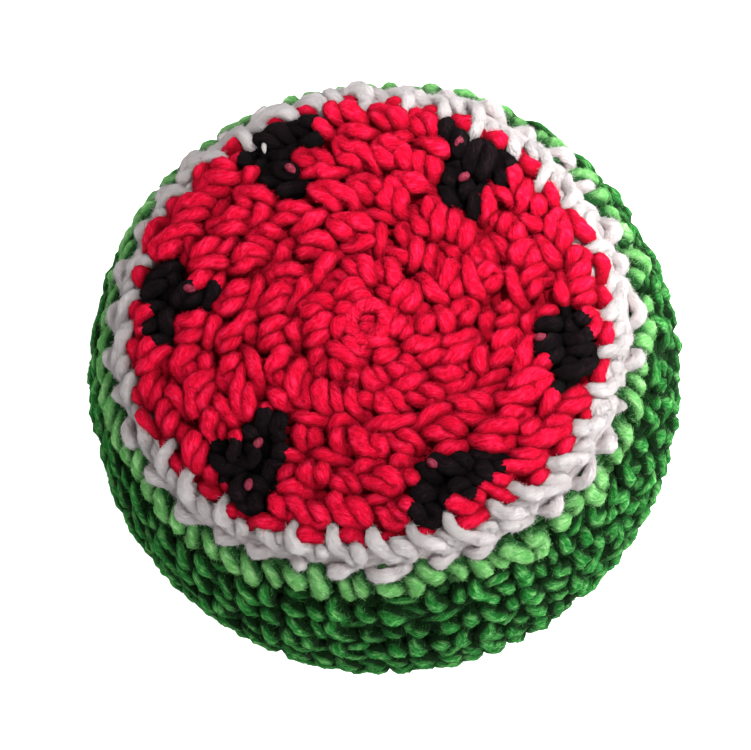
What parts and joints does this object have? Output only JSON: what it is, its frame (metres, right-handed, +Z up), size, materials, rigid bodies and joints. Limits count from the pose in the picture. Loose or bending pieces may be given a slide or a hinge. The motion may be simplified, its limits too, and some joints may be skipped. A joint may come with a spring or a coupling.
{
  "type": "crocheted footbag",
  "caption": "Squat round crocheted footbag with a watermelon slice top, an inner pouch and a pellet filling.",
  "frame": {"origin": "middle of the flat patch that the bag rests on", "axes": "+Z up along the bag's axis, from the green base to the red top; +X and +Y lie in the resting plane"},
  "size_m": [0.06, 0.06, 0.034],
  "materials": {
    "red_yarn": "soft brushed acrylic yarn",
    "black_yarn": "soft brushed acrylic yarn",
    "white_yarn": "soft brushed acrylic yarn",
    "light_green_yarn": "soft brushed acrylic yarn",
    "green_yarn": "soft brushed acrylic yarn",
    "muslin": "plain woven cotton",
    "thread": "twisted cotton thread",
    "pellets": "smooth satin polypropylene"
  },
  "bodies": {
    "root": {"flesh_panel": "red_yarn", "seed_1": "black_yarn", "seed_2": "black_yarn", "seed_3": "black_yarn", "seed_4": "black_yarn", "seed_5": "black_yarn", "seed_6": "black_yarn", "rind_ring": "white_yarn", "light_green_ring": "light_green_yarn", "green_cup": "green_yarn", "inner_pouch": "muslin", "pouch_tie": "thread", "pellet_fill": "pellets"}
  },
  "joints": []
}
